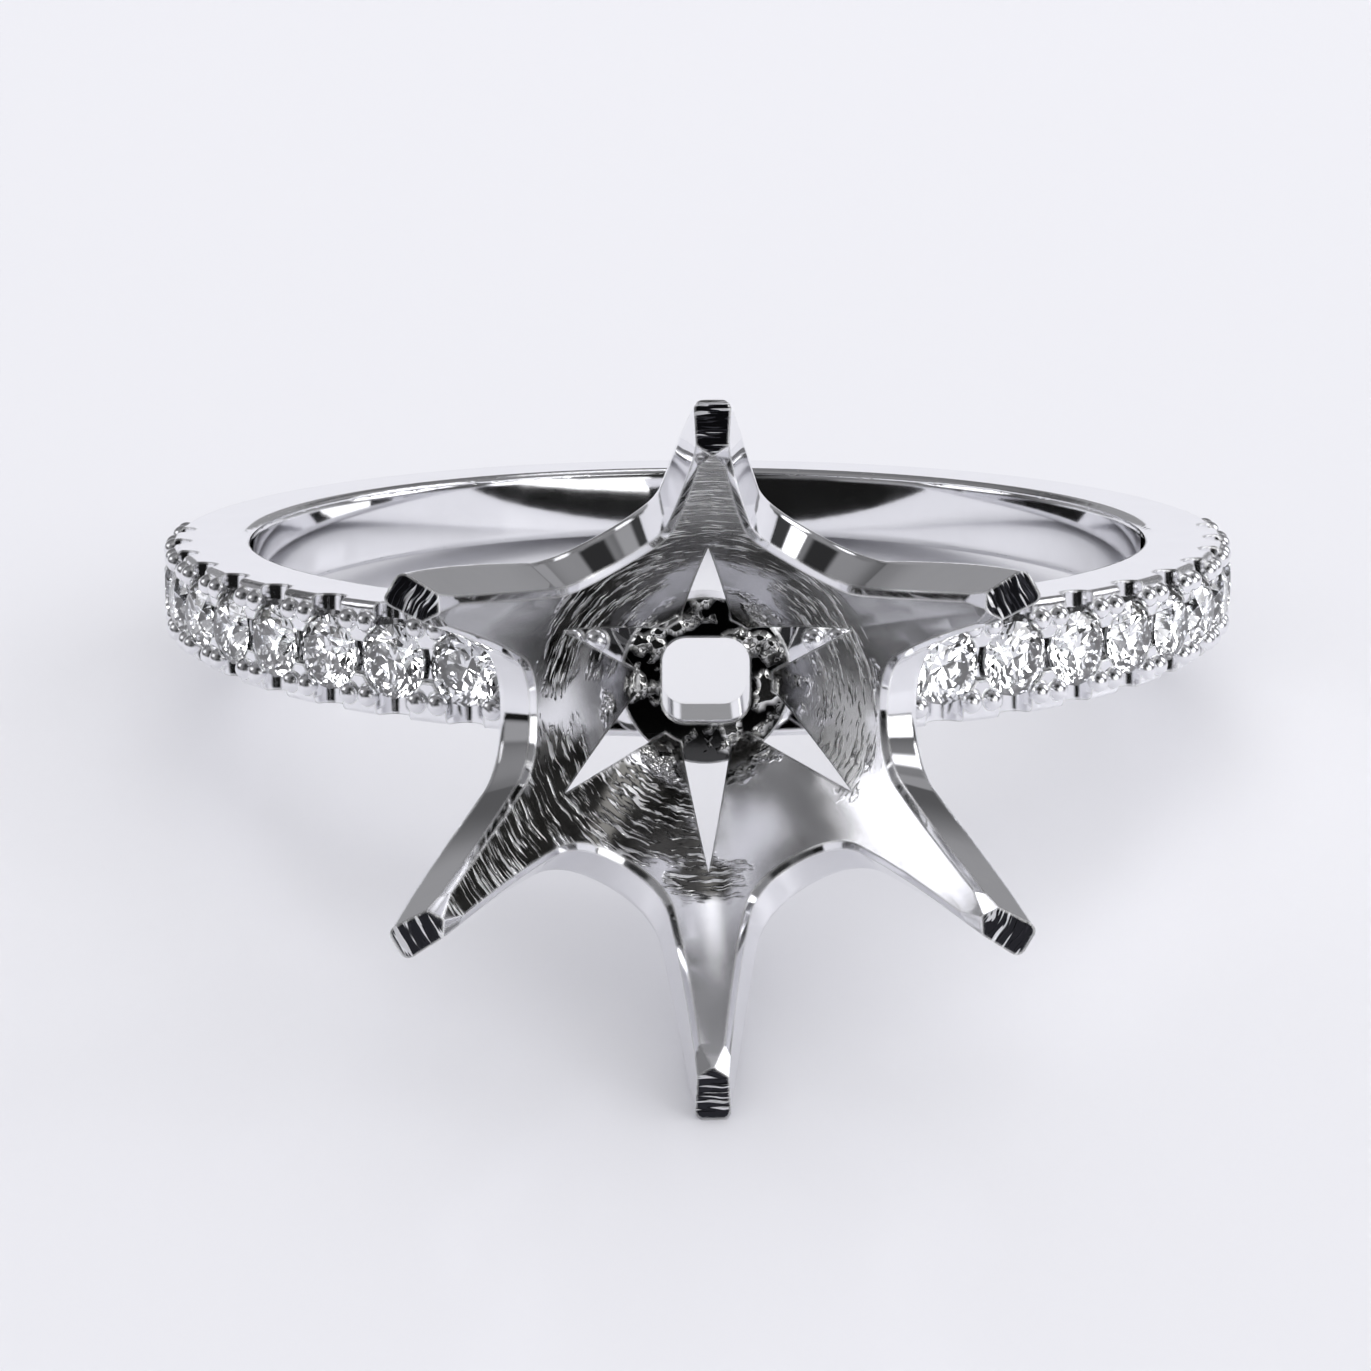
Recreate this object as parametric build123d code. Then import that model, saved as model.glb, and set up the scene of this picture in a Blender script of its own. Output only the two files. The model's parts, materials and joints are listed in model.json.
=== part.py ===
from build123d import *
import math
import os

# Ring setting for one large round centre stone, lying on its side, lengths in mm.
# The ring is first built in the plane of its hoop: the hoop turns round Z and the head points
# along -Y. At the end it is tipped to rest on its lowest prong and the back of the band.

# Band
finger_hole_radius = 8.65
band_thickness = 1.5
band_width_front = 2.1
band_width_back = 1.4
band_inner_rounding = 0.18
band_outer_rounding = 0.12
band_radius = finger_hole_radius + band_thickness
cutter_overrun = 1.0

# Head: a flared cup on a small round base, cut into six prongs
prong_count = 6
base_radius = 1.46
base_rise = 0.15
base_sink = 0.6
cup_floor_radius = 1.15
head_height = 6.6
cup_mouth_radius = 4.91
cup_inner_belly = 0.155
prong_depth = 0.87
cup_outer_belly = 0.43
prong_width = 0.5
prong_bevel_height = 0.28
prong_bevel_depth = 0.14
prong_facet_length = 1.4
prong_facet_foot = 0.78
prong_facet_depth = 0.15
prong_facet_edge = 0.04
prong_rounding = 0.13
cup_floor = band_radius + base_rise
prong_top = cup_floor + head_height
prong_radius = cup_mouth_radius + prong_depth

# Scallops between the prongs, wider and lower towards the outside
scallop_depth = 3.9
scallop_valley_radius = 2.9
scallop_valley_rounding = 1.0
scallop_valley_turn = 72.0
scallop_fall = 25.0
scallop_bevel = 0.09

# V slots through the foot of each prong and the hole under the centre stone
slot_width = 0.87
slot_height = 2.5
culet_hole_side = 1.5
culet_hole_rounding = 0.42

# Small round brilliants along both shoulders
stone_diameter = 1.35
stone_pitch_angle = 8.4
first_stone_angle = 16.0
stones_per_shoulder = 10
stone_sink = 0.05
stone_gap = 0.02
girdle_height = 0.04
girdle_sides = 16
table_share = 0.57
crown_angle = 34.5
upper_girdle_angle = 41.0
star_angle = 21.0
pavilion_angle = 40.75
lower_girdle_angle = 42.3
stone_radius = stone_diameter / 2
stone_centre_radius = band_radius - stone_sink

# Beads that hold the small stones, a pair at each edge of the band between two stones
bead_radius = 0.2
bead_pair_spacing = 0.42
bead_row_offset = 0.66
bead_sink = 0.02
notch_radius = 0.36
groove_width = 0.6
groove_depth = 0.14


def sin(angle):
    return math.sin(math.radians(angle))


def cos(angle):
    return math.cos(math.radians(angle))


def tan(angle):
    return math.tan(math.radians(angle))


def band_half_width(along_y):
    """Half the band's width, which falls evenly from the head to the back of the hoop."""
    middle = (band_width_front + band_width_back) / 4
    taper = (band_width_front - band_width_back) / 4
    return middle - taper * along_y / band_radius


def shoulder_place(angle, radius, side):
    """A place on a shoulder: local Z points out of the hoop and local Y along the hoop's axis."""
    turn = side * angle
    origin = (radius * sin(turn), -radius * cos(turn), 0)
    return Location(Plane(origin, x_dir=(cos(turn), sin(turn), 0), z_dir=(sin(turn), -cos(turn), 0)))


def make_band():
    """Hoop whose two flat sides close towards the back, with rounded edges."""
    reach = band_radius + cutter_overrun
    sides = Polyline(
        (-reach, band_half_width(-reach)),
        (reach, band_half_width(reach)),
        (reach, -band_half_width(reach)),
        (-reach, -band_half_width(-reach)),
        close=True,
    )
    wedge = extrude(Plane.YZ * make_face(sides), amount=reach, both=True)
    hoop = Cylinder(band_radius, 2 * band_width_front) - Cylinder(finger_hole_radius, 2 * band_width_front)
    band = hoop & wedge
    middle_length = math.tau * (finger_hole_radius + band_thickness / 2)
    rims = band.edges().filter_by(GeomType.LINE, reverse=True)
    band = fillet(rims.filter_by(lambda edge: edge.length < middle_length), band_inner_rounding)
    outer_length = math.tau * (band_radius - band_outer_rounding / 2)
    rims = band.edges().filter_by(GeomType.LINE, reverse=True)
    return fillet(rims.filter_by(lambda edge: edge.length > outer_length), band_outer_rounding)


def belly_arc(foot, top, belly):
    """Arc from foot to top that swells outwards by belly at its middle."""
    run = top[0] - foot[0]
    rise = top[1] - foot[1]
    chord = math.hypot(run, rise)
    middle_x = (foot[0] + top[0]) / 2 + belly * rise / chord
    middle_y = (foot[1] + top[1]) / 2 - belly * run / chord
    return ThreePointArc(foot, (middle_x, middle_y), top)


def make_cup():
    """Base and flared wall as one turned body, built with the head's axis along Z."""
    bevel_foot = (cup_mouth_radius - prong_bevel_depth, prong_top - prong_bevel_height)
    inner = belly_arc((cup_floor_radius, cup_floor), bevel_foot, cup_inner_belly)
    outer = belly_arc((base_radius, cup_floor), (prong_radius, prong_top), cup_outer_belly)
    rim = Polyline(bevel_foot, (cup_mouth_radius, prong_top), (prong_radius, prong_top))
    base_bottom = band_radius - base_sink
    base = Polyline(
        (base_radius, cup_floor),
        (base_radius, base_bottom),
        (0, base_bottom),
        (0, cup_floor),
        (cup_floor_radius, cup_floor),
    )
    profile = make_face([*inner.edges(), *rim.edges(), *outer.edges(), *base.edges()])
    cup = revolve(Plane.XZ * profile, Axis.Z)
    return Rot(0, 0, 180 / prong_count) * cup


def radial_plane(turn, distance):
    """Plane across the direction turn, local Y along the head's axis."""
    origin = (distance * cos(turn), distance * sin(turn), 0)
    return Plane(origin, x_dir=(-sin(turn), cos(turn), 0), z_dir=(cos(turn), sin(turn), 0))


def scallop_section(turn, distance):
    """U outline of one scallop on a plane at a distance from the head's axis.

    A small arc makes the valley, and larger ones run on smoothly from it up to the prong tips.
    """
    half_angle = 180 / prong_count - math.degrees(math.asin(prong_width / 2 / cup_mouth_radius))
    mouth = distance * tan(half_angle)
    valley = prong_top - scallop_depth - tan(scallop_fall) * (distance - scallop_valley_radius)
    radius = scallop_valley_rounding * distance / scallop_valley_radius
    touch_x = radius * sin(scallop_valley_turn)
    touch_y = valley + radius * (1 - cos(scallop_valley_turn))
    run_on_x = cos(scallop_valley_turn)
    run_on_y = sin(scallop_valley_turn)
    open_y = prong_top + cutter_overrun
    section = [
        Line((mouth, open_y), (mouth, prong_top)),
        TangentArc((touch_x, touch_y), (mouth, prong_top), tangent=(run_on_x, run_on_y)),
        ThreePointArc((touch_x, touch_y), (0, valley), (-touch_x, touch_y)),
        TangentArc((-touch_x, touch_y), (-mouth, prong_top), tangent=(-run_on_x, run_on_y)),
        Line((-mouth, prong_top), (-mouth, open_y)),
        Line((-mouth, open_y), (mouth, open_y)),
    ]
    return radial_plane(turn, distance) * make_face([edge for line in section for edge in line.edges()])


def make_scallop(turn):
    """Cutter for the gap between two prongs."""
    near = scallop_section(turn, cup_floor_radius)
    far = scallop_section(turn, prong_radius + cutter_overrun)
    return loft([near, far], ruled=True)


def make_slot(turn):
    """Cutter for the V slot through the foot of a prong, widest at the cup's floor."""
    outline = Polyline(
        (-slot_width / 2, cup_floor),
        (slot_width / 2, cup_floor),
        (0, cup_floor + slot_height),
        close=True,
    )
    return extrude(radial_plane(turn, cup_floor_radius / 2) * make_face(outline), amount=prong_radius)


def make_facet(turn, side):
    """Cutter that files one inner corner of a prong's tip to a long narrow facet."""
    wall_lean = (cup_mouth_radius - cup_floor_radius) / head_height
    tip_edge = Vector(cup_mouth_radius, side * prong_facet_edge / 2, prong_top)
    tip_side = Vector(cup_mouth_radius + prong_facet_depth, side * prong_width / 2, prong_top)
    foot = Vector(
        cup_mouth_radius - prong_facet_length * wall_lean,
        side * prong_facet_foot / 2,
        prong_top - prong_facet_length,
    )
    outwards = (tip_side - tip_edge).cross(foot - tip_edge) * side
    facet = Plane(tip_edge, x_dir=foot - tip_edge, z_dir=outwards)
    size = 2 * prong_facet_length
    return Rot(0, 0, turn) * (facet * (Pos(0, 0, prong_width / 2) * Box(size, 2 * prong_depth, prong_width)))


def turned_walls(head):
    """The cup's inner wall, then its outer wall."""
    return head.faces().filter_by(GeomType.REVOLUTION).sort_by(lambda face: face.bounding_box().diagonal)


def make_head():
    """Cup with its scallops, rounded and bevelled prongs and V slots, head's axis along Z."""
    step = 360 / prong_count
    head = make_cup() - [make_scallop(step * number) for number in range(prong_count)]
    head = fillet(turned_walls(head)[-1].edges().filter_by(GeomType.BSPLINE), prong_rounding)
    head = chamfer(turned_walls(head)[0].edges().filter_by(GeomType.BSPLINE), scallop_bevel)
    prong_turns = [step * (number + 0.5) for number in range(prong_count)]
    head -= [make_facet(turn, side) for turn in prong_turns for side in (-1, 1)]
    head -= [make_slot(turn) for turn in prong_turns]
    return Rot(90, 0, 0) * head


def stone_angles():
    return [first_stone_angle + stone_pitch_angle * number for number in range(stones_per_shoulder)]


def make_stone():
    """Round brilliant with its table up and the middle of its girdle at the origin."""
    half_girdle = girdle_height / 2
    table_radius = table_share * stone_radius
    table_height = half_girdle + (stone_radius - table_radius) * tan(crown_angle)
    culet_depth = half_girdle + stone_radius * tan(pavilion_angle)
    half_step = 180 / girdle_sides
    flat_radius = stone_radius * cos(half_step)
    star_reach = table_radius * cos(2 * half_step)
    outline = RegularPolygon(stone_radius, girdle_sides)
    stone = extrude(outline, amount=table_height) + extrude(outline, amount=-culet_depth)
    # Crown mains, upper girdle facets, stars, pavilion mains and lower girdle facets. The columns
    # are the first facet's turn, how many go round, their tilt, and a point's reach and height.
    facet_rows = [
        (0, girdle_sides // 2, crown_angle, stone_radius, half_girdle),
        (half_step, girdle_sides, upper_girdle_angle, flat_radius, half_girdle),
        (2 * half_step, girdle_sides // 2, star_angle, star_reach, table_height),
        (0, girdle_sides // 2, 180 - pavilion_angle, stone_radius, -half_girdle),
        (half_step, girdle_sides, 180 - lower_girdle_angle, flat_radius, -half_girdle),
    ]
    for first_turn, count, tilt, reach, height in facet_rows:
        for number in range(count):
            turn = first_turn + 360 / count * number
            direction = (sin(tilt) * cos(turn), sin(tilt) * sin(turn), cos(tilt))
            point = (reach * cos(turn), reach * sin(turn), height)
            stone = split(stone, bisect_by=Plane(point, z_dir=direction), keep=Keep.BOTTOM)
    return stone


def make_seat():
    """Cutter for one stone's seat: the stone's form with a small gap all round."""
    half_girdle = girdle_height / 2
    table_radius = table_share * stone_radius
    under = half_girdle + stone_gap / cos(pavilion_angle)
    over = half_girdle + stone_gap / cos(crown_angle)
    wide = stone_radius + stone_gap
    outline = Polyline(
        (0, -under - stone_radius * tan(pavilion_angle)),
        (wide, -under + stone_gap * tan(pavilion_angle)),
        (wide, over - stone_gap * tan(crown_angle)),
        (table_radius, over + (stone_radius - table_radius) * tan(crown_angle)),
        (table_radius, over + stone_radius),
        (0, over + stone_radius),
        close=True,
    )
    return revolve(Plane.XZ * make_face(outline), Axis.Z)


def make_groove(side):
    """Cutter for the shallow groove along a shoulder that frees the stones from each other."""
    angles = stone_angles()
    outline = Plane.XZ * Pos(band_radius, 0) * Rectangle(2 * groove_depth, groove_width)
    start = angles[0] if side > 0 else -angles[-1]
    return Rot(0, 0, start - 90) * revolve(outline, Axis.Z, revolution_arc=angles[-1] - angles[0])


def make_beads(side):
    """Pairs of beads at both edges of the band, before, between and behind the stones."""
    beads = []
    for number in range(stones_per_shoulder + 1):
        angle = first_stone_angle + stone_pitch_angle * (number - 0.5)
        place = shoulder_place(angle, band_radius - bead_sink, side)
        for along in (-bead_pair_spacing / 2, bead_pair_spacing / 2):
            for across in (-bead_row_offset, bead_row_offset):
                beads.append(place * Pos(along, across, 0) * Sphere(bead_radius))
    return beads


def make_culet_hole():
    """Cutter for the rounded square hole from the finger hole up into the cup."""
    outline = RectangleRounded(culet_hole_side, culet_hole_side, culet_hole_rounding)
    start = finger_hole_radius - band_thickness
    return Rot(90, 0, 0) * Pos(0, 0, start) * extrude(outline, amount=cup_floor + base_rise - start)


def make_metal():
    """Band, head and beads as one cast and soldered body."""
    band = make_band()
    notches = []
    for side in (-1, 1):
        for angle in stone_angles():
            place = shoulder_place(angle, band_radius, side)
            notches.append(place * Rot(90, 0, 0) * Cylinder(notch_radius, 2 * band_width_front))
    band -= [*notches, make_groove(-1), make_groove(1)]
    metal = band + [make_head(), *make_beads(-1), *make_beads(1)]
    seat = make_seat()
    seats = []
    for side in (-1, 1):
        for angle in stone_angles():
            seats.append(shoulder_place(angle, stone_centre_radius, side) * seat)
    return metal - [*seats, make_culet_hole()]


def rest_angle():
    """Tilt at which the lowest prong's tip and the band's back edge touch one level floor."""
    along = prong_top + band_radius - band_outer_rounding
    below = band_half_width(band_radius) - band_outer_rounding - prong_radius
    reach = math.hypot(along, below)
    return math.degrees(math.asin(-band_outer_rounding / reach) - math.atan2(below, along))


def make_pieces():
    """All pieces by name, in the hoop's own plane."""
    stone = make_stone()
    pieces = {"ring_setting": make_metal()}
    for side, side_name in ((-1, "left"), (1, "right")):
        for number, angle in enumerate(stone_angles(), 1):
            place = shoulder_place(angle, stone_centre_radius, side)
            pieces[f"stone_{side_name}_{number:02d}"] = place * stone
    return pieces


def lay_down(pieces):
    """Pieces tipped to rest, lowest point at height zero and their box centred on the origin."""
    tipped = {name: Rot(-rest_angle(), 0, 0) * piece for name, piece in pieces.items()}
    boxes = [piece.bounding_box() for piece in tipped.values()]
    middle_x = (min(box.min.X for box in boxes) + max(box.max.X for box in boxes)) / 2
    middle_y = (min(box.min.Y for box in boxes) + max(box.max.Y for box in boxes)) / 2
    move = Pos(-middle_x, -middle_y, -min(box.min.Z for box in boxes))
    print("tilt", rest_angle(), "hoop centre", move.position)
    return {name: move * piece for name, piece in tipped.items()}


os.makedirs("parts", exist_ok=True)
for name, piece in lay_down(make_pieces()).items():
    export_step(piece, f"parts/{name}.step")
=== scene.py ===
# %% [markdown]
# A semi mount ring is sold without its centre stone: a polished band, two shoulders set with
# small brilliants, and an empty head whose prongs still wait for the setter. This lesson loads
# the ring's solid parts, gives them their finishes, and lights them as on a white table.
# All shapes come from the CAD model, so the whole work here is metal, stones, light and camera.

# %% Load the ring
import json
import math
import bpy
from mathutils import Matrix, Vector

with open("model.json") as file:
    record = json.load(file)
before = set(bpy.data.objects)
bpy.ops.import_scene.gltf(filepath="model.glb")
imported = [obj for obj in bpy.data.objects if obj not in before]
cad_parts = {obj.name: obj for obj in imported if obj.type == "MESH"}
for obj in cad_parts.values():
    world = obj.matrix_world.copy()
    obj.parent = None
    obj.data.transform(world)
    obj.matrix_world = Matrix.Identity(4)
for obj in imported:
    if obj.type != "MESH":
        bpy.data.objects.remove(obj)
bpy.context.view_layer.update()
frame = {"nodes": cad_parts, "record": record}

nodes = frame["nodes"]
mounts = {mount["name"]: mount for mount in frame["record"]["mounts"]}

# %% [markdown]
# The ring lies on its side, tipped forward onto one prong. The record gives the middle of the
# finger hole and the hoop's axis, and from these every finish below finds its place: how far
# along the head a point is, and how far from the head's axis. The head's axis is the hoop's
# own -Y axis, so the height of the cup's floor and of the prong tips is counted along it.

# %% Find the hoop and its tilt
MM = 0.001
hoop_centre = Vector(mounts["finger_hole"]["pos_m"])
hoop_axis = Vector(mounts["finger_hole"]["axis"])
hoop_tilt = math.atan2(hoop_axis.y, hoop_axis.z)
hole_radius = mounts["finger_hole"]["dims"]["r_mm"]
cup_floor = 10.30
prong_top = 16.90
print("tilt", round(math.degrees(hoop_tilt), 3), "degrees, hole radius", hole_radius, "mm")

# %% [markdown]
# Shader nodes are wired by hand in the editor. In a script a few small helpers keep that
# readable: one adds a node and plugs its inputs, one does sums, one makes soft steps, two mix
# numbers or colours, and one starts a material.

# %% Helpers for shader nodes


def plug(tree, socket, value):
    if isinstance(value, bpy.types.NodeSocket):
        tree.links.new(value, socket)
    elif value is not None:
        socket.default_value = value


def add(tree, kind, inputs=(), **settings):
    """Add a node, set its properties, and plug its inputs by name or number."""
    made = tree.nodes.new("ShaderNode" + kind)
    for name, value in settings.items():
        setattr(made, name, value)
    for name, value in dict(inputs).items():
        plug(tree, made.inputs[name], value)
    return made


def sums(tree, operation, *values):
    return add(tree, "Math", dict(enumerate(values)), operation=operation).outputs[0]


def step(tree, value, low, high):
    """0 below low and 1 above high, with a soft rise between; low may be the higher one."""
    made = add(tree, "MapRange", {0: value, 1: low, 2: high}, interpolation_type="SMOOTHSTEP")
    return made.outputs[0]


def mixed(tree, factor, first, second):
    made = add(tree, "Mix", {0: factor, 2: first, 3: second}, data_type="FLOAT")
    return made.outputs[0]


def mixed_colour(tree, factor, first, second):
    """First colour where factor is 0 and second where it is 1, each as (red, green, blue)."""
    made = add(tree, "Mix", {0: factor}, data_type="RGBA")
    for number, value in ((6, first), (7, second)):
        given = value if isinstance(value, bpy.types.NodeSocket) else (*value, 1)
        plug(tree, made.inputs[number], given)
    return made.outputs[2]


def new_material(name):
    """An empty material and its node tree."""
    made = bpy.data.materials.new(name)
    made.use_nodes = True
    made.node_tree.nodes.clear()
    return made, made.node_tree


helpers = (plug, add, sums, step, mixed, mixed_colour, new_material)
print("helpers", [helper.__name__ for helper in helpers])

# %% [markdown]
# The camera comes first, because every finish is judged through it. It was worked out from the
# photograph: the ellipse of the hoop and the six prong tips fix its distance, height and lens.
# It stands only 84 mm away, so the near prongs look much larger than the back of the hoop.

# %% Camera
camera = bpy.data.objects.new("camera", bpy.data.cameras.new("camera"))
bpy.context.scene.collection.objects.link(camera)
bpy.context.scene.camera = camera
camera_place = Vector((-1.153, -74.263, 32.423)) * MM
camera_aim = Vector((-0.241, 2.995, 0.526)) * MM
look = (camera_aim - camera_place).to_track_quat("-Z", "Y").to_matrix().to_4x4()
camera.matrix_world = Matrix.Translation(camera_place) @ look
camera.data.sensor_width = 36
camera.data.lens = 112.4
camera.data.clip_start = 1 * MM
camera.data.clip_end = 10
print("camera", [round(v, 4) for v in camera.location], "lens", camera.data.lens)

# %% [markdown]
# Polished metal is a mirror, so it looks like what stands around it. The head's own coordinates
# let one material be a mirror outside, filed inside the cup and saw-cut on the prong tips.
# A Mapping node of type Texture undoes the ring's tilt and turns metres into millimetres.
# What several finishes need is worked out once, in a node group: a point in the hoop's own
# millimetres, its height along the head, its distance from the head's axis, the direction
# away from that axis, and whether the surface faces that way or back into the cup.

# %% Node groups


def new_group(name, inputs, outputs):
    group = bpy.data.node_groups.new(name, "ShaderNodeTree")
    for label, kind in inputs:
        group.interface.new_socket(label, in_out="INPUT", socket_type="NodeSocket" + kind)
    for label, kind in outputs:
        group.interface.new_socket(label, in_out="OUTPUT", socket_type="NodeSocket" + kind)
    return group, group.nodes.new("NodeGroupInput"), group.nodes.new("NodeGroupOutput")


def use_group(tree, group, inputs=()):
    made = tree.nodes.new("ShaderNodeGroup")
    made.node_tree = group
    for name, value in dict(inputs).items():
        plug(tree, made.inputs[name], value)
    return made


print("helpers", new_group.__name__, use_group.__name__)

# %% Node group: the place of a point on the ring
ring_place, _, ends = new_group(
    "ring place",
    [],
    [("Point", "Vector"), ("Normal", "Vector"), ("Height", "Float"), ("Radius", "Float"),
     ("Round", "Vector"), ("Facing Out", "Float")],
)
coordinates = add(ring_place, "TexCoord").outputs
point = add(
    ring_place, "Mapping",
    {"Vector": coordinates["Object"], "Location": hoop_centre,
     "Rotation": (-hoop_tilt, 0, 0), "Scale": (MM, MM, MM)},
    vector_type="TEXTURE",
).outputs[0]
normal = add(
    ring_place, "Mapping",
    {"Vector": coordinates["Normal"], "Rotation": (hoop_tilt, 0, 0)},
    vector_type="VECTOR",
).outputs[0]
across, back, along = add(ring_place, "SeparateXYZ", {0: point}).outputs
flat = add(ring_place, "CombineXYZ", {0: across, 1: 0.0, 2: along}).outputs[0]
away = add(ring_place, "VectorMath", {0: flat}, operation="LENGTH").outputs["Value"]
outward = add(ring_place, "VectorMath", {0: flat}, operation="NORMALIZE").outputs[0]
facing = add(ring_place, "VectorMath", {0: outward, 1: normal}, operation="DOT_PRODUCT")
plug(ring_place, ends.inputs["Point"], point)
plug(ring_place, ends.inputs["Normal"], normal)
plug(ring_place, ends.inputs["Height"], sums(ring_place, "MULTIPLY", back, -1.0))
plug(ring_place, ends.inputs["Radius"], away)
plug(ring_place, ends.inputs["Round"], outward)
plug(ring_place, ends.inputs["Facing Out"], facing.outputs["Value"])
print("group", ring_place.name, "outputs", [item.name for item in ring_place.interface.items_tree])

# %% [markdown]
# A file leaves bundles of fine lines that run the way it went, and so does a saw. Noise that
# changes fast across the stroke and slowly along it makes such lines, and a second, coarser
# noise breaks them into short strokes. The same group serves the file marks in the cup and the
# saw marks on the tips: only the stroke's direction, spacing and bend differ, so these are its
# inputs.

# %% Node group: strokes
break_threshold = (0.40, 0.56)
line_threshold = (0.48, 0.58)
strokes, starts, ends = new_group(
    "strokes",
    [("Along", "Vector"), ("Across", "Float"), ("Per mm", "Float"), ("Bend", "Float")],
    [("Lines", "Float")],
)
given = starts.outputs
bend = add(strokes, "TexNoise", {"Vector": given["Along"], "Scale": 1.3, "Detail": 1.0})
bend = sums(strokes, "MULTIPLY", bend.outputs["Fac"], given["Bend"])
row = sums(strokes, "MULTIPLY", given["Across"], given["Per mm"])
row = sums(strokes, "ADD", row, bend)
along = add(strokes, "SeparateXYZ", {0: given["Along"]}).outputs
place = add(strokes, "CombineXYZ", {0: along[0], 1: row, 2: along[2]}).outputs[0]
fine = add(strokes, "TexNoise", {"Vector": place, "Scale": 1.0, "Detail": 1.0, "Roughness": 0.5})
coarse = add(
    strokes, "TexNoise", {"Vector": place, "Scale": 0.37, "Detail": 2.0, "Roughness": 0.6}
)
breaks = step(strokes, coarse.outputs["Fac"], *break_threshold)
lines = step(strokes, fine.outputs["Fac"], *line_threshold)
plug(strokes, ends.inputs["Lines"], sums(strokes, "MULTIPLY", breaks, lines))
print("group", strokes.name, "nodes", len(strokes.nodes))

# %% [markdown]
# The file didn't go everywhere: some places in the cup are full of its marks and others are
# still smooth. Painting a mask by hand would do; here the mask is a few soft balls, each given
# by its middle in the hoop's own millimetres and its size, with noise to fray their edges.

# %% Node group: places that the file reached
filed_places = [
    # across, height along the head, along the hoop's axis, size
    (-0.2, 16.6, 4.6, 1.7), (-0.3, 14.6, 3.6, 1.5), (-1.0, 13.0, 2.9, 1.3),
    (-1.7, 12.4, 2.0, 1.2), (0.9, 12.9, 2.9, 1.0), (-2.6, 12.4, 1.0, 0.7),
    (-2.4, 12.7, -1.4, 1.2), (-3.2, 14.2, -1.8, 1.0), (-1.1, 12.0, -1.9, 1.2),
    (-0.1, 12.9, -2.8, 0.6), (1.9, 12.3, 1.5, 1.0), (2.2, 12.2, 0.4, 1.0),
    (2.3, 12.4, -0.6, 0.8), (-3.9, 15.6, -2.2, 1.2), (-1.6, 11.3, 0.9, 0.6),
]
frayed_edge = 1.2
solid_rim = 0.35
faded_rim = 0.75
file_patches, starts, ends = new_group("file patches", [("Point", "Vector")], [("Mask", "Float")])
fray = add(file_patches, "TexNoise", {"Vector": starts.outputs[0], "Scale": 1.6, "Detail": 3.0})
fray = sums(file_patches, "MULTIPLY", fray.outputs["Fac"], frayed_edge)
mask = 0.0
for x, height, z, size in filed_places:
    span = {0: starts.outputs[0], 1: (x, -height, z)}
    away = add(file_patches, "VectorMath", span, operation="DISTANCE").outputs["Value"]
    away = sums(file_patches, "ADD", away, fray)
    ball = step(file_patches, away, size + faded_rim, size + solid_rim)
    mask = sums(file_patches, "MAXIMUM", mask, ball)
plug(file_patches, ends.inputs["Mask"], mask)
print("group", file_patches.name, "patches", len(filed_places))

# %% [markdown]
# White gold is close to a perfect mirror with a faint cool grey tone. On the real ring the cup
# was shaped with a file and left so, because the centre stone will hide it, and the prongs were
# cut to length with a saw. One material holds all these finishes, mixed by where a point is:
# it could be several materials on chosen faces, but a mask has no hard border and needs no
# change to the CAD mesh. First come the masks, each 1 where its finish lies and 0 elsewhere.
# Each pair below is where a mask starts and where it is full: heights in mm along the head,
# and facings from 1, straight away from the head's axis, to -1, straight into the cup.

# %% White gold: where each finish lies
cup_facing = (-0.72, -0.80)
cup_heights = (cup_floor - 0.3, cup_floor)
tip_facing = (-0.9, -0.97)
tip_heights = (prong_top - 0.06, prong_top - 0.02)
seat_facing = (0.4, 0.1)
seat_bottom = (cup_floor - 0.05, cup_floor - 0.02)
seat_top = (cup_floor + 0.6, cup_floor + 0.1)

gold, tree = new_material("polished white gold")
here = use_group(tree, ring_place).outputs
height = here["Height"]
place_across, place_back, place_along = add(tree, "SeparateXYZ", {0: here["Point"]}).outputs
_, face_back, _ = add(tree, "SeparateXYZ", {0: here["Normal"]}).outputs


def both(first, second):
    return sums(tree, "MULTIPLY", first, second)


in_cup = both(step(tree, here["Facing Out"], *cup_facing), step(tree, height, *cup_heights))
on_tip = both(step(tree, face_back, *tip_facing), step(tree, height, *tip_heights))
# The flat seat at the foot of the cup, painted dark below as shade:
on_seat = both(step(tree, height, *seat_bottom), step(tree, height, *seat_top))
on_seat = both(on_seat, step(tree, here["Facing Out"], *seat_facing))
print("heights: cup from", cup_heights, "tips from", tip_heights, "seat up to", seat_top[0])

# %% [markdown]
# The strokes in the cup run round the head's axis, so they are dense along its height. Those on
# the tips run across the prong. Their length comes from the direction round the axis: the less
# it is scaled, the longer they get. A soft large noise stands for wear, where fingers and cloths
# have been, and it also frays the border of the painted shade in the deep corners. The metal
# between the strokes gets painted light on the right side of the cup and in its top, so another
# mask tells those places.

# %% White gold: strokes, wear, and where shade and light are painted
cup_strokes_per_mm = 14.0
tip_strokes_per_mm = 16.0
deep_heights = (11.8, 11.0)
bright_across = (0.8, 2.2)
bright_along = (2.6, 3.6)


def stroke_lines(round_scale, across, per_mm, bend):
    """Lines round the head's axis, longer where round_scale is smaller."""
    along = add(
        tree, "VectorMath", {0: here["Round"], 1: (round_scale,) * 3}, operation="MULTIPLY"
    ).outputs[0]
    sizes = {"Along": along, "Across": across, "Per mm": per_mm, "Bend": bend}
    return use_group(tree, strokes, sizes).outputs["Lines"]


def spots(per_mm, detail, roughness):
    """Noise in the hoop's own millimetres."""
    sizes = {"Vector": here["Point"], "Scale": per_mm, "Detail": detail, "Roughness": roughness}
    return add(tree, "TexNoise", sizes).outputs["Fac"]


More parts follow.
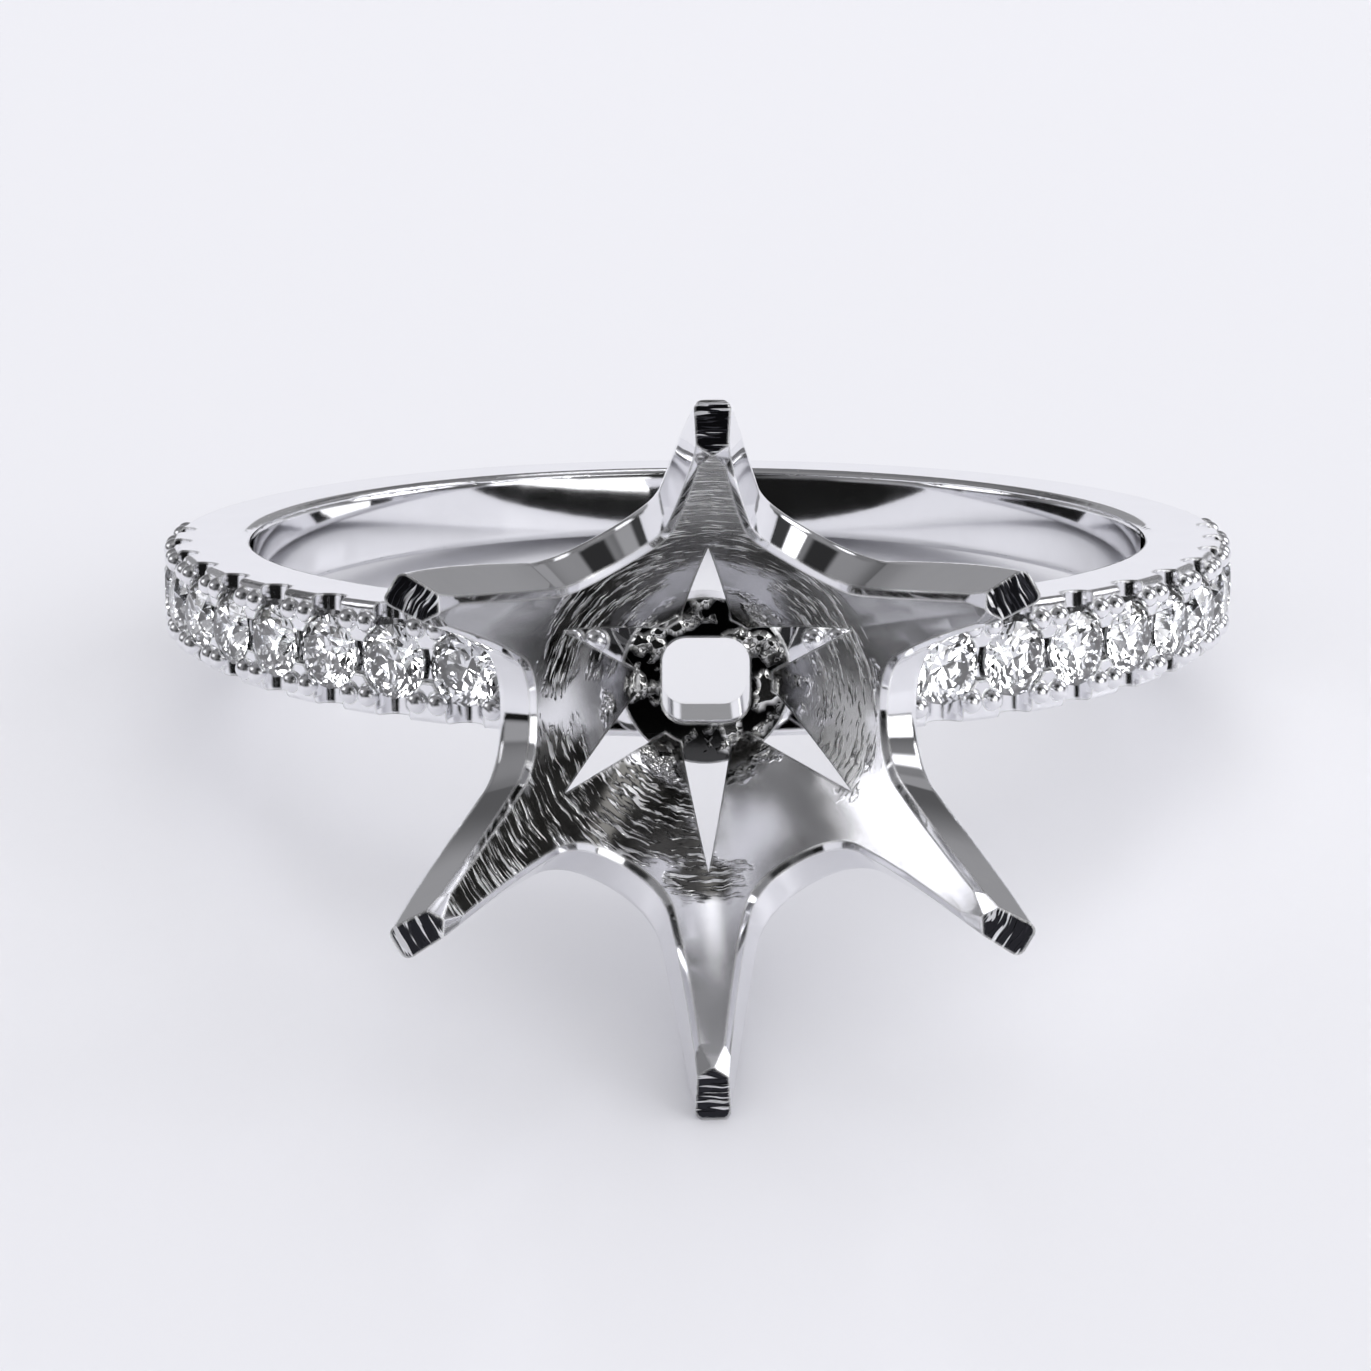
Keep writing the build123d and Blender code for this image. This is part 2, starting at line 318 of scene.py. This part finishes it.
cup_lines = stroke_lines(7.0, height, cup_strokes_per_mm, 1.6)
tip_lines = stroke_lines(9.0, here["Radius"], tip_strokes_per_mm, 2.0)
reached = use_group(tree, file_patches, {"Point": here["Point"]}).outputs["Mask"]
filed = both(in_cup, reached)
wear = spots(1.1, 4.0, 0.6)
# The deep corners of the cup, painted dark below as shade:
deep = both(in_cup, step(tree, sums(tree, "ADD", height, wear), *deep_heights))
# Where the ground between the strokes gets painted light instead of painted shade:
bright_side = step(tree, place_across, *bright_across)
bright_top = step(tree, place_along, *bright_along)
bright_ground = sums(tree, "MAXIMUM", bright_side, bright_top)
print("strokes per mm: cup", cup_strokes_per_mm, "tips", tip_strokes_per_mm)

# %% [markdown]
# In the foot of the cup the painted shade is broken by small lumps, painted in a light metal tone
# as glints and raised by a bump so that they catch the lamps too. They could be modelled, but each
# is as small as a grain of sand, so they are cut out of another noise, in the deep corners and on
# the seat.

# %% White gold: painted glints on small lumps
lump_spots_per_mm = 1.8
lump_threshold = (0.49, 0.62)
# Where the seat and the deep corners carry painted shade:
painted_shade_foot = sums(tree, "MAXIMUM", deep, on_seat)
lumps = both(painted_shade_foot, step(tree, spots(lump_spots_per_mm, 2.0, 0.5), *lump_threshold))
print("solder lumps of about", round(0.5 / lump_spots_per_mm, 2), "mm")

# %% [markdown]
# The prongs' rims are a little rounded by polishing, and a rounded rim always catches some lamp,
# so it shows as a bright line. The Bevel node rounds the shading there without touching the
# mesh, and where its normal turns away from the face's own, the surface is on a rim. Below, the
# rim is also painted white, as a painted highlight.

# %% White gold: polished rims
rim_radius = 0.07
rim_turn = (0.99, 0.93)
rim_normal = add(tree, "Bevel", {"Radius": rim_radius * MM}, samples=4).outputs[0]
face_normal = add(tree, "NewGeometry").outputs["True Normal"]
turned = add(tree, "VectorMath", {0: rim_normal, 1: face_normal}, operation="DOT_PRODUCT")
on_rim = step(tree, turned.outputs["Value"], *rim_turn)
print("rim radius", rim_radius, "mm")

# %% [markdown]
# Gloss: the band and the outside are mirrors with faint wear, the cup is satin, a file stroke
# and a saw cut scatter more light, and so does a rim. Each number is a roughness, and each pair
# goes from the ground to the strokes, or from little wear to much.

# %% White gold: gloss
band_rough = (0.015, 0.06)
cup_rough = 0.16
file_ground_rough = (0.09, 0.24)
stroke_rough = 0.35
tip_rough = (0.22, 0.42)
rim_rough = 0.30
file_gloss = mixed(tree, bright_ground, *file_ground_rough)
file_gloss = mixed(tree, cup_lines, file_gloss, stroke_rough)
cup_gloss = mixed(tree, filed, cup_rough, file_gloss)
gloss = mixed(tree, in_cup, mixed(tree, wear, *band_rough), cup_gloss)
gloss = mixed(tree, on_tip, gloss, mixed(tree, tip_lines, *tip_rough))
gloss = mixed(tree, on_rim, gloss, rim_rough)
print("roughness: band", band_rough, "cup", cup_rough, "tips", tip_rough)

# %% [markdown]
# Colour: metal shows its colour in what it mirrors. Between the strokes the cup is painted dark
# as shade, and lighter on its right side and in its top as painted light. The flat seat at the
# foot of the cup and the deep corners round it get the darkest painted shade of all, with
# glints painted on the lumps there. The saw cuts are dark with bright lines, and the rims are
# painted white as a highlight.

# %% White gold: colour
saw_contrast = (0.5, 0.9)
gold_dull = (0.80, 0.80, 0.82)
gold_bright = (0.90, 0.90, 0.92)
# Painted shade and painted light for the metal between the file strokes:
ground_painted_shade = (0.08, 0.078, 0.072)
ground_painted_light = (0.62, 0.62, 0.61)
stroke_white = (0.99, 0.99, 0.99)
# Painted shade for the seat and the deep corners:
seat_painted_shade = (0.06, 0.06, 0.06)
deep_painted_shade = (0.06, 0.058, 0.053)
# Painted glint on the lumps, in a light metal tone over the painted shade:
glint = (0.80, 0.80, 0.78)
saw_dark = (0.03, 0.03, 0.035)
# Painted highlight on the rims:
rim_painted_highlight = (1.0, 1.0, 1.0)
file_ground = mixed_colour(tree, bright_ground, ground_painted_shade, ground_painted_light)
file_tone = mixed_colour(tree, cup_lines, file_ground, stroke_white)
tip_tone = mixed_colour(tree, step(tree, tip_lines, *saw_contrast), saw_dark, gold_bright)
tone = mixed_colour(tree, wear, gold_dull, gold_bright)
layers = [
    (filed, file_tone), (on_seat, seat_painted_shade), (deep, deep_painted_shade), (lumps, glint),
    (on_tip, tip_tone), (on_rim, rim_painted_highlight),
]
for mask, colour in layers:
    tone = mixed_colour(tree, mask, tone, colour)
print("white gold from", gold_dull, "to", gold_bright, "and", len(layers), "layers over it")

# %% [markdown]
# Relief: each stroke stands up from its ground, wear swells the surface very little, the lumps of
# the painted glints stand up, and the inside of the band is slightly crowned for comfort. That
# crown is one or two hundredths of a millimetre high, and it slants by some hundredths more at the
# hoop's sides. The solid has no need of it, but a mirror shows it at once: it gathers what the band
# mirrors into curved patches. All heights but the first are shares of the strokes' height, and
# those of the crown grow with the distance in mm from the band's middle.

# %% White gold: relief
stroke_height = 0.04
wear_swell = 0.006
lump_height = 4.0
crown_curve = -0.39
crown_offset = 0.1
crown_slant = -0.023
hole_wall = (hole_radius + 0.03, hole_radius + 0.01)
in_plane = add(tree, "CombineXYZ", {0: place_across, 1: place_back, 2: 0.0}).outputs[0]
hoop_radius = add(tree, "VectorMath", {0: in_plane}, operation="LENGTH").outputs["Value"]
crown = sums(tree, "POWER", sums(tree, "ADD", place_along, crown_offset), 2.0)
crown = sums(tree, "MULTIPLY", crown, crown_curve)
slant = sums(tree, "MULTIPLY", place_along, crown_slant)
slant = sums(tree, "MULTIPLY", sums(tree, "POWER", place_across, 2.0), slant)
depth = both(sums(tree, "ADD", crown, slant), step(tree, hoop_radius, *hole_wall))
raised = [(cup_lines, filed), (tip_lines, on_tip), (wear, wear_swell), (lumps, lump_height)]
for mark, share in raised:
    depth = sums(tree, "ADD", depth, both(mark, share))
relief = add(
    tree, "Bump",
    {"Strength": 1.0, "Distance": stroke_height * MM, "Height": depth, "Normal": rim_normal},
).outputs[0]
shader = add(
    tree, "BsdfPrincipled",
    {"Base Color": tone, "Metallic": 1.0, "Roughness": gloss, "Normal": relief},
)
add(tree, "OutputMaterial", {"Surface": shader.outputs[0]})
print("material", gold.name, "nodes", len(tree.nodes))

# %% [markdown]
# The small brilliants are clear and take light in through the table, throw it about between
# their facets and send it back out. A glass shader with a high index does the same.
# A faint haze on the facets stands for dust and finger grease.

# %% Material: brilliants
brilliant, tree = new_material("clear brilliant")
place = use_group(tree, ring_place).outputs["Point"]
haze = add(tree, "TexNoise", {"Vector": place, "Scale": 2.5, "Detail": 2.0}).outputs["Fac"]
shader = add(
    tree, "BsdfPrincipled",
    {"Base Color": (0.97, 0.98, 1.0, 1), "Metallic": 0.0, "IOR": 2.4, "Transmission Weight": 1.0,
     "Roughness": mixed(tree, haze, 0.0, 0.06)},
)
add(tree, "OutputMaterial", {"Surface": shader.outputs[0]})
print("material", brilliant.name)

# %% [markdown]
# The soldered metal is one piece and takes the gold; each of the twenty stones takes the
# brilliant. A CAD piece keeps its mesh, and only the material in its slot changes.

# %% Give each piece its finish
for name, piece in nodes.items():
    finish = gold if name == "ring_setting" else brilliant
    piece.material_slots[0].material = finish
print("finishes", {piece.material_slots[0].material.name for piece in nodes.values()})

# %% [markdown]
# The table is white with a weak gloss: a plain sheet much larger than the view, so that no edge
# shows. A plain mix of matt and gloss is used, because the usual gloss grows at grazing angles
# and would show the far side of the room in the inside of the band.

# %% Floor
table_size = 4
table_gloss = 0.06
bpy.ops.object.select_all(action="DESELECT")
bpy.ops.mesh.primitive_plane_add(size=table_size, location=(0, 0, 0))
floor = bpy.context.object
floor.name = "floor"
white, tree = new_material("glossy white table")
matt = add(tree, "BsdfDiffuse", {"Color": (0.84, 0.84, 0.87, 1)})
gloss = add(tree, "BsdfGlossy", {"Color": (1, 1, 1, 1), "Roughness": 0.20})
shader = add(tree, "MixShader", {0: table_gloss, 1: matt.outputs[0], 2: gloss.outputs[0]})
add(tree, "OutputMaterial", {"Surface": shader.outputs[0]})
floor.data.materials.append(white)
print("floor", tuple(round(v, 2) for v in floor.dimensions))

# %% [markdown]
# What the metal mirrors is the room. The photograph shows dark metal wherever a face looks at
# the camera or at the far side of the room, and white metal wherever it looks at the lamps or
# the table. So the room is drawn as a sky: dim walls that lighten upwards, a pale band low at
# the back, and bright soft panels. Each panel is a round patch of the sky, given by its
# direction and size. The heights are sines of the elevation, from 0 level to 1 overhead. Matt
# surfaces see a plain even light instead, which keeps the table white.

# %% Room
world = bpy.data.worlds.new("studio")
bpy.context.scene.world = world
world.use_nodes = True
tree = world.node_tree
tree.nodes.clear()
wall_heights = (0.20, 0.90)
wall_light = (0.05, 0.28)
band_top = (0.43, 0.26)
band_at_back = (0.0, 0.6)
band_light = 0.33
even_light = 0.81
panels = [
    # bearing (0 is the camera's side, 90 its right), elevation, size, softness, strength
    (-55, 20, 10, 8, 0.35),
    (0, 52, 18, 8, 0.03),
    (-92, 30, 10, 5, 2.0),
    (139, 31, 8, 5, 0.34),
    (102, 32, 14, 5, 3.0),
    (48, 24, 11, 4, 3.2),
    (180, 55, 22, 10, 0.20),
    (165, 60, 8, 4, 1.8),
]


def sky_direction(bearing, elevation):
    """A direction in the room; angles in degrees, bearing 0 at the camera's side."""
    turn = math.radians(bearing)
    rise = math.radians(elevation)
    level = math.cos(rise)
    return Vector((math.sin(turn) * level, -math.cos(turn) * level, math.sin(rise)))


direction = add(tree, "TexCoord").outputs["Generated"]
_, to_back, up = add(tree, "SeparateXYZ", {0: direction}).outputs
light = mixed(tree, step(tree, up, *wall_heights), *wall_light)
band = sums(tree, "MULTIPLY", step(tree, up, *band_top), step(tree, to_back, *band_at_back))
light = mixed(tree, band, light, band_light)
for bearing, elevation, size, softness, strength in panels:
    aim = sky_direction(bearing, elevation)
    near = add(tree, "VectorMath", {0: direction, 1: aim}, operation="DOT_PRODUCT").outputs["Value"]
    edge = math.cos(math.radians(size + softness))
    patch = step(tree, near, edge, math.cos(math.radians(size)))
    light = mixed(tree, patch, light, strength)
paths = add(tree, "LightPath").outputs
light = mixed(tree, paths["Is Diffuse Ray"], light, even_light)
room = add(tree, "Background", {"Color": (0.97, 0.97, 1.0, 1), "Strength": light})
plain = add(tree, "Background", {"Color": (0.82, 0.82, 0.86, 1), "Strength": 1.0})
sky = add(tree, "MixShader", {0: paths["Is Camera Ray"], 1: room.outputs[0], 2: plain.outputs[0]})
add(tree, "OutputWorld", {"Surface": sky.outputs[0]})
print("panels", len(panels), "room nodes", len(tree.nodes))

# %% [markdown]
# One large soft lamp above and a little behind gives the ring its faint shadow on the table, as
# under a light tent. The metal doesn't mirror it, so it can't spoil what the room shows there.

# %% Lamp


def disk_lamp(name, place, aim, size, watts):
    """Round lamp of a size in metres, at a place, shining towards a direction."""
    data = bpy.data.lights.new(name, "AREA")
    data.shape = "DISK"
    data.size = size
    data.energy = watts
    made = bpy.data.objects.new(name, data)
    bpy.context.scene.collection.objects.link(made)
    made.location = place
    made.rotation_euler = aim.to_track_quat("-Z", "Y").to_euler()
    made.visible_glossy = False
    return made


lamp_place = Vector((0.05, 0.10, 0.24))
lamp = disk_lamp("soft lamp", lamp_place, -lamp_place, size=0.40, watts=0.215)
bpy.context.scene.view_settings.view_transform = "Standard"
print("lamp", lamp.data.energy, "W")

# %% [markdown]
# Brilliants glitter because their facets catch small lamps. A ring of small bright lamps that
# only the light passing through the stones can see gives them that fire, and leaves the metal
# and the table as they are.

# %% Sparkle lamps
sparkle_distance = 70
sparkles = [
    # bearing, elevation, size in mm, watts
    (-60, 40, 30, 0.25), (55, 45, 34, 0.45), (0, 60, 30, 0.30), (-25, 12, 16, 0.10),
    (30, 12, 20, 0.20), (-110, 30, 20, 0.12), (110, 30, 24, 0.25), (-10, 30, 12, 0.08),
    (14, 28, 14, 0.12),
]
for bearing, elevation, size, watts in sparkles:
    aim = sky_direction(bearing, elevation)
    sparkle = disk_lamp("sparkle lamp", aim * sparkle_distance * MM, -aim, size * MM, watts)
    sparkle.visible_camera = False
    sparkle.visible_diffuse = False
print("sparkle lamps", len(sparkles))

# %% [markdown]
# A jeweller's photographer stands black and white cards near a ring, only for it to mirror.
# Here two black cards fill the camera's side of the room, with the table showing under their
# edges, and a white one to the right puts a bright stripe inside the back of the hoop.
# The cards are hidden from the camera and light nothing but the metal, the stones and, very
# faintly, the gloss of the table.

# %% Cards


def card(name, left, right, low, high, distance, strength):
    """Upright card between two x places and two heights, at a distance in front; all in mm."""
    bpy.ops.object.select_all(action="DESELECT")
    bpy.ops.mesh.primitive_plane_add(size=1, location=(0, 0, 0), rotation=(math.pi / 2, 0, 0))
    made = bpy.context.object
    made.name = name
    made.scale = ((right - left) * MM, (high - low) * MM, 1)
    made.location = Vector(((left + right) / 2, -distance, (low + high) / 2)) * MM
    bpy.ops.object.transform_apply(location=True, rotation=True, scale=True)
    paint, tree = new_material(name)
    glow = add(tree, "Emission", {"Strength": strength})
    add(tree, "OutputMaterial", {"Surface": glow.outputs[0]})
    made.data.materials.append(paint)
    made.visible_camera = False
    made.visible_diffuse = False
    made.visible_shadow = False


# left, right, low, high, distance, strength
card("black card left", -150, -14, 0.2, 9, 45, 0.01)
card("black card", -20, 190, 0.6, 14, 90, 0.01)
card("white card", 20, 120, 5.5, 45, 85, 1.8)

# %% [markdown]

# %% End
print("scene built")
